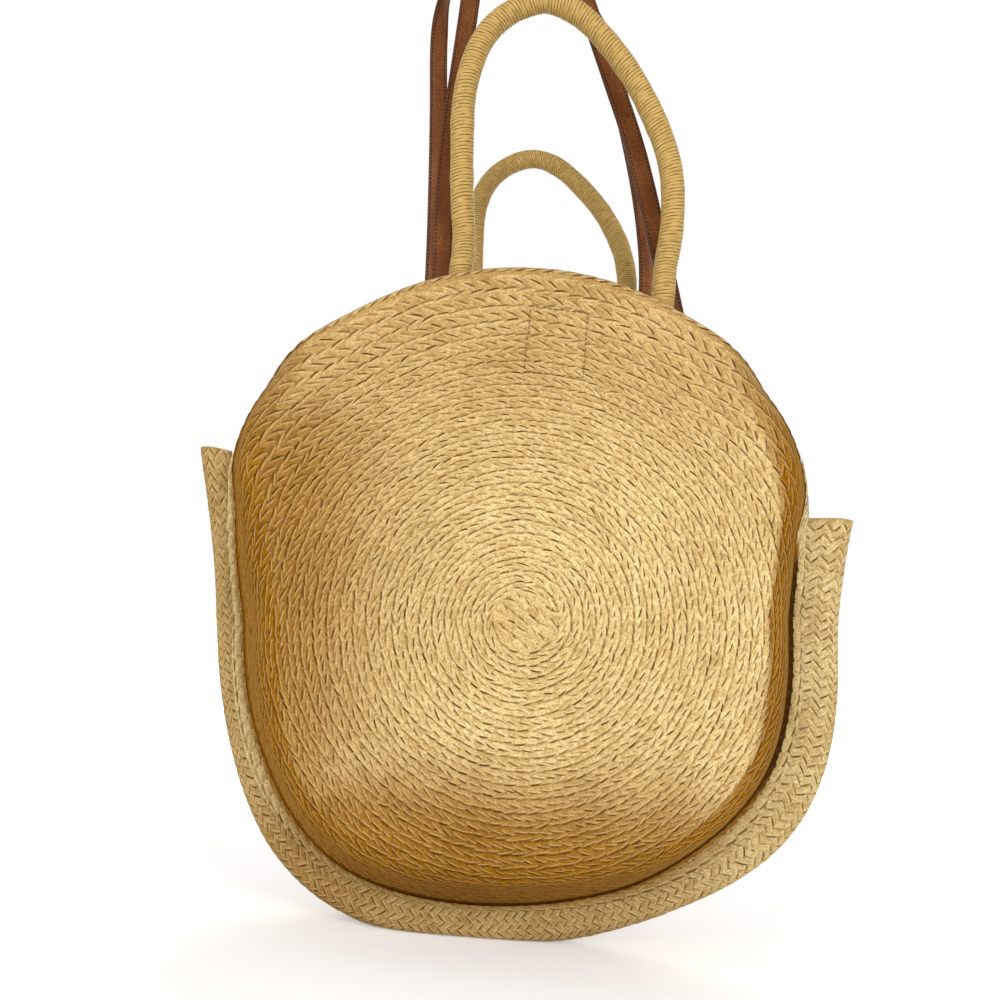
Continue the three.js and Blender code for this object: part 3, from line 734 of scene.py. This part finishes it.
def gusset_weave(name, face, columns=18, along_count=126):
    """Pads in columns that slant to one side and the other in turn, so that neighbours meet in a zigzag."""
    m, c = np.meshgrid(np.arange(along_count), np.arange(columns), indexing="ij")
    row = GUSSET_FROM + (m + 0.5 * (c % 2)) / along_count * (GUSSET_TO - GUSSET_FROM)
    row = row.ravel()[:, None, None]
    middle = ((c + 0.5) / columns * GUSSET_WIDE).ravel()[:, None, None]
    lean = np.where(c % 2, 1, -1).ravel()

    def place(along, across, height):
        at = np.clip(row + along / ROW_LONG, GUSSET_FROM, GUSSET_TO)
        return off_gusset(at, np.clip(middle + across, 0, GUSSET_WIDE), face * height)

    count = m.size
    jitter = rng.normal(0, 1, (3, count))
    long, slant = 10.5 * (1 + 0.05 * jitter[0]), lean * (0.72 + 0.05 * jitter[1])
    points, faces, uv, tint = leaves(
        place, count, long, 5.4, slant, lift=0.25, sink=0.9 + 0.06 * jitter[2], tip=0.12, nose=4.0,
        turn=-face, roll=0.20, covered=0.26)
    angle = row_angle(row)
    # Painted shade: the gusset's straw darker towards the bottom and towards the left.
    brown = 0.45 * smoothstep(-np.sin(angle), 0.55, 0.95) + 0.42 * smoothstep(-np.cos(angle), 0.3, 0.8)
    obj = make(name, points, faces, band_straw, uv, tint=tint, toast=0.06 + brown + 0 * tint)
    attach(obj, "bag")


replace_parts(gusset_shell(), "gusset")
gusset_weave("gusset_weave", 1)
gusset_weave("gusset_weave_inside", -1)


def seam(name, side, count=78, cords=3):
    """Thin plaited cords side by side along the seam, from the panel's edge out over the gusset, as wide
    together as the seam draws the edge in, and on past the gusset's right end until they run out."""
    k, cord = np.meshgrid(np.arange(count), np.arange(cords), indexing="ij")
    row = -0.1 + (k + 0.5 + cord / cords) / count * (GUSSET_ROWS + 1.8)
    angle = row_angle(row).ravel()
    gap = (0.8 + seam_pull(angle))[:, None, None]
    share = ((cord.ravel() + 0.5) / cords)[:, None, None]
    inner = share < 1 / cords
    angle = angle[:, None, None]
    kept = {}

    def place(along, across, height):
        where = angle + along / 180
        edge = panel_point(np.full_like(where, PANEL_RADIUS), where)
        up = stack(np.cos(where), 0 * where, np.sin(where))
        fore = stack(0 * where, -np.ones_like(where), 0 * where)
        low = smoothstep(-np.sin(where), 0.4, 0.9)
        # Painted shadow: the innermost cord darkened as the crevice between panel and gusset, most on the
        # right; the other cords darker towards the bottom as painted shade.
        shade = 0.7 + 1.1 * smoothstep(np.cos(where), 0.78, 0.94) + 0.2 * low
        shade = shade * smoothstep(-np.sin(where), -0.42, -0.3)
        kept["toast"] = np.where(inner, shade, 0.1 + 0.5 * low) + 0 * across
        out = np.clip(0.8 + (gap + 1.4) * share + across, -1.5, 2.2 + seam_pull(where))
        proud = 4.2 + height - 2.0 * share - 1.2 * inner
        return edge + up * out[..., None] + fore * proud[..., None]

    points, faces, uv, tint = leaves(
        place, cords * count, 13.0, 1.5 + gap[:, 0, 0] / 2.2, 0.12, lift=0.6, sink=0.0, tip=0.2, nose=3.4,
        turn=side, roll=0.15, covered=0.06)
    points = mirrored(points, side)
    obj = make(name, points, faces, band_straw, uv, tint=tint, toast=kept["toast"])
    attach(obj, "bag")
    return obj


for side, which in ((-1, "front"), (1, "back")):
    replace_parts(seam(f"{which}_seam_plait", side), f"{which}_seam_lacing")


# Handles

def seat(x, z, half):
    """Depth of a piece of that half thickness against the inside of the front panel."""
    rim_z = CENTRE + np.sqrt(PANEL_RADIUS ** 2 - x ** 2)
    return off_face(x, np.minimum(z, rim_z), -RIM_HALF - CLEAR - half + 0 * z)[..., 1]


def handle_path(loop, side, lean):
    """Path up from the tail inside the panel, round the arch in its leaning plane, and down to the other
    tail."""
    up = loop[:, 1]
    arch = stack(loop[:, 0], -(HINGE_Y + up * math.sin(lean)), HINGE_Z + up * math.cos(lean))
    z = HINGE_Z - np.linspace(TAIL, 10, 7)
    ends = []
    for x in (loop[0, 0], loop[-1, 0]):
        depth = [seat(np.full(7, x + w), z, HANDLE_R) for w in (-HANDLE_R, 0, HANDLE_R)]
        ends.append(stack(np.full(7, x), np.minimum(np.max(depth, axis=0), -HINGE_Y), z))
    return mirrored(np.concatenate([ends[0], arch, ends[1][::-1]]), side)


def strap_path(loop, side):
    """Path up from a tail that passes over the handle's tail, round the leaning loop, and down to the other
    tail."""
    up = loop[:, 1]
    arch = stack(loop[:, 0], STRAP_LEAN * up - STRAP_Y, HINGE_Z + up)
    drop = np.linspace(STRAP_TAIL, 5, 16)
    z = HINGE_Z - drop
    over = smoothstep(z, HINGE_Z - TAIL - STRAP_TUCK, HINGE_Z - TAIL)
    ends = []
    for foot, above in ((loop[0], loop[1]), (loop[-1], loop[-2])):
        x = foot[0] - drop * (above[0] - foot[0]) / above[1]
        depth = np.max([seat(x + w, z, STRAP_HALF) for w in (-STRAP_WIDE / 2, 0, STRAP_WIDE / 2)], axis=0)
        ends.append(stack(x, depth + (-STRAP_Y - depth) * over, z))
    return mirrored(np.concatenate([ends[0], arch, ends[1][::-1]]), side)


def crossways(path, normal):
    """Two unit directions across a path: one near the given normal, and one square to it."""
    forward = tangents(path)
    through = unit(normal - forward * (forward @ normal)[:, None])
    return through, np.cross(through, forward)


def wound_handle(which, side, lean, arch):
    """Raffia wound round a rope: a tube along the arch whose radius has a ridge for every turn of a helix."""
    around, count = 20, 1500
    path = spline(handle_path(arch, side, lean), count)
    run = run_of(path)
    through, across = crossways(path, np.array([0, math.cos(lean), -side * math.sin(lean)]))
    turn = 2 * np.pi * np.arange(around + 1) / around
    wander = np.interp(run, np.linspace(0, run[-1], 90), np.cumsum(rng.normal(0, 0.12, 90)))
    phase = (run / WIND_STEP + wander)[:, None] - WIND_STARTS * turn / (2 * np.pi)
    ridge = np.abs(np.sin(np.pi * phase)) ** 0.6
    lump = np.interp(run, np.linspace(0, run[-1], 70), rng.normal(0, 0.12, 70))[:, None]
    radius = HANDLE_R - WIND_INSET + WIND_RIDGE * ridge + lump
    radius[0] = radius[-1] = 0.0
    sideways = across[:, None] * (radius * np.cos(turn))[..., None]
    points = path[:, None] + sideways + through[:, None] * (radius * np.sin(turn))[..., None]
    uv = stack(phase, turn + 0 * phase)
    obj = make(f"{which}_handle_raffia", points, grid_faces(count, around + 1, False), raffia, uv, weld=True)
    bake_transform(obj)
    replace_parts(obj, f"{which}_handle_wrap", f"{which}_handle_core", f"{which}_handle_tail_left",
                f"{which}_handle_tail_right")


wound_handle("front", -1, math.radians(4), FRONT_ARCH)
wound_handle("back", 1, math.radians(22.5), BACK_ARCH)


# Straps

def strap(which, side, loop):
    """Two leather plies as one ribbon: a rounded flat profile carried round the loop, turned edge-on where
    the loop closes, with a row of stitches along each edge on both faces."""
    count = 420
    path = spline(strap_path(loop, side), count)
    run = run_of(path)
    through, across = crossways(path, np.array([0, side, 0.0]))
    twist = (np.pi / 2 * smoothstep(path[:, 2] - HINGE_Z, TWIST_FROM, TWIST_TO))[:, None]
    wide = across * np.cos(twist) + through * np.sin(twist)
    thick = through * np.cos(twist) - across * np.sin(twist)
    w = np.array([-6, -5.9, -5.4, -4.6, -3.2, 0, 3.2, 4.6, 5.4, 5.9, 6, 5.9, 5.4, 0, -5.4, -5.9])
    t = np.array([0, 0.9, 1.4, 1.5, 1.42, 1.48, 1.42, 1.5, 1.4, 0.9, 0, -0.9, -1.4, -1.5, -1.4, -0.9])
    points = path[:, None] + wide[:, None] * w[:, None] + thick[:, None] * t[:, None]
    points[0], points[-1] = path[0], path[-1]
    edge = np.abs(w) / 6 + 0 * run[:, None]
    obj = make(f"{which}_strap", points, grid_faces(count, len(w), True), leather, weld=True, edge=edge)
    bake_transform(obj)
    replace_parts(obj, f"{which}_strap_face", f"{which}_strap_lining", f"{which}_strap_tail_left",
                f"{which}_strap_tail_right")

    stitches = int((run[-1] - 2 * STITCH_INSET) / STITCH_STEP)
    middle = np.repeat(STITCH_INSET + np.arange(stitches) * STITCH_STEP, 4)[:, None, None]
    row = np.tile([-STITCH_ROW, STITCH_ROW, -STITCH_ROW, STITCH_ROW], stitches)[:, None, None]
    face = np.tile([1, 1, -1, -1], stitches)[:, None, None]

    def place(along, over, height):
        at = middle + along

        def follow(line):
            return stack(*[np.interp(at, run, line[:, c]) for c in range(3)])

        sideways = follow(wide) * (row + over * face)[..., None]
        return follow(path) + sideways + follow(thick) * (face * (STRAP_HALF + height))[..., None]

    points, faces = leaves(place, 4 * stitches, 1.9, 0.9, 0.0, lift=0.35, sink=-0.1, columns=3)[:2]
    sewn = make(f"{which}_strap_stitches", points, faces, stitch_thread)
    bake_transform(sewn)


strap("front", -1, FRONT_LOOP)
strap("back", 1, BACK_LOOP)


# Stitches and closure

def thread_run(name, points_at, total, material):
    """Running stitches: short pads along a line given by points_at(distance, over, height)."""
    count = int(total / THREAD_STEP)
    middle = ((np.arange(count) + 0.5) * THREAD_STEP)[:, None, None]

    def place(along, across, height):
        return points_at(middle + along, across, height)

    points, faces = leaves(place, count, 2.6, 0.6, 0.0, lift=0.35, sink=0.0, columns=3)[:2]
    obj = make(name, points, faces, material)
    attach(obj, "bag")
    return obj


for end, to_row in (("left", lambda row: GUSSET_FROM + row), ("right", lambda row: GUSSET_TO - row)):
    for k, row in enumerate(HEM_ROWS):
        def hem(along, across, height, at=to_row(row)):
            return off_gusset(at + across / ROW_LONG, along + HEM_INSET, 1.2 + height)

        stitched = thread_run(f"{end}_hem_stitches_{k + 1}", hem, GUSSET_WIDE - 2 * HEM_INSET, sewing)
        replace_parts(stitched, f"{end}_hem_thread_{k + 1}")

half_w, half_h = PATCH_WIDE / 2 - 0.5, PATCH_HIGH / 2 - 0.5
corners = np.array([[-1, -1], [1, -1], [1, 1], [-1, 1], [-1, -1]]) * [half_w, half_h]
lengths = run_of(corners)
for side, which in ((-1, "front"), (1, "back")):
    def sewn_line(along, across, height, side=side):
        x = np.interp(along, lengths, corners[:, 0])
        z = np.interp(along, lengths, corners[:, 1])
        flat = np.abs(np.abs(x) - half_w) > 1e-6
        point = off_face(PATCH_X + x + across * ~flat, PATCH_Z + z + across * flat, 2.2 + height)
        return mirrored(point, side)

    stitched = thread_run(f"{which}_patch_stitches", sewn_line, lengths[-1], patch_sewing)
    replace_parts(stitched, f"{which}_patch_thread")

shown = {"snap_patch": leather, "snap_base": steel, "snap_stud": steel}
for name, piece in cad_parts.items():
    for ending, material in shown.items():
        if name.endswith(ending):
            piece.data.materials.clear()
            piece.data.materials.append(material)


# Stage, light and camera

def seen_ray(tree):
    """One for what is seen straight, in a reflection or through a piece, and zero for what only lights."""
    rays = node(tree, "ShaderNodeLightPath")
    seen = sums(tree, "MAXIMUM", rays.outputs["Is Camera Ray"], rays.outputs["Is Glossy Ray"])
    return sums(tree, "MAXIMUM", seen, rays.outputs["Is Transmission Ray"])


def lifted(tree, value, near, far, low):
    """Value brought from low at near up to one at far, held at both ends."""
    limits = {"Value": value, "From Min": near, "From Max": far, "To Min": low, "To Max": 1.0}
    return node(tree, "ShaderNodeMapRange", limits).outputs["Result"]


def place_at(obj, place, right, up, back):
    """Adds an object to the scene at a place, with its axes along the given directions."""
    turn = np.column_stack([right, up, back])
    obj.matrix_world = Matrix.Translation(place) @ Matrix(turn.tolist()).to_4x4()
    bpy.context.collection.objects.link(obj)


def backdrop():
    """Flat floor of paper. What is seen of it is lifted to white, less so near the bag, where its shadow
    stays."""
    reach = np.array([-6000, 6000.0])
    points = stack(reach[:, None], reach, 0.0)
    paper, tree, shader = finish("paper", 0.9, gloss=0.0)
    shader.inputs["Base Color"].default_value = (0.9, 0.9, 0.9, 1)
    place = node(tree, "ShaderNodeTexCoord").outputs["Object"]
    far = node(tree, "ShaderNodeVectorMath", {0: place}, operation="LENGTH").outputs["Value"]
    white = times(tree, seen_ray(tree), lifted(tree, far, 0.25, 1.0, 0.35))
    shader.inputs["Emission Color"].default_value = (1, 1, 1, 1)
    tree.links.new(white, shader.inputs["Emission Strength"])
    make("floor", points, np.array([[0, 2, 3, 1]]), paper)


backdrop()


def area_light(name, place, size, watts, aim=(0, 0, 0.2)):
    """A round lamp of a size in metres that faces the bag."""
    data = bpy.data.lights.new(name, "AREA")
    data.shape = "DISK"
    data.size = size
    data.energy = watts
    back = unit(np.array(place, float) - np.array(aim, float))
    right = unit(np.cross([0, 0, 1], back))
    place_at(bpy.data.objects.new(name, data), place, right, np.cross(back, right), back)


area_light("key", (0.8, -1.45, 0.6), size=0.6, watts=12.5)
area_light("fill", (-1.3, -1.4, 0.8), size=1.2, watts=17)
area_light("back", (0.3, 2.0, 1.1), size=1.2, watts=19)
world = bpy.data.worlds.new("studio")
world.use_nodes = True
sky = world.node_tree.nodes["Background"]
sky.inputs["Color"].default_value = (1, 1, 1, 1)
daylight = lifted(world.node_tree, seen_ray(world.node_tree), 0.0, 1.0, 0.45)
world.node_tree.links.new(daylight, sky.inputs["Strength"])
bpy.context.scene.world = world
bpy.context.scene.view_settings.view_transform = "Standard"

CAMERA_PLACE = (-0.01855, -0.608, 0.166)
CAMERA_PITCH, CAMERA_ROLL = math.radians(8.0), math.radians(6.17)
camera = bpy.data.cameras.new("camera")
camera.sensor_width = 36
camera.lens = 36.12
camera.clip_start = 0.01
ahead = np.array([0, math.cos(CAMERA_PITCH), math.sin(CAMERA_PITCH)])
level = np.array([1.0, 0, 0])
upright = np.cross(level, ahead)
right = level * math.cos(CAMERA_ROLL) + upright * math.sin(CAMERA_ROLL)
upward = upright * math.cos(CAMERA_ROLL) - level * math.sin(CAMERA_ROLL)
viewer = bpy.data.objects.new("camera", camera)
place_at(viewer, CAMERA_PLACE, right, upward, -ahead)
bpy.context.scene.camera = viewer
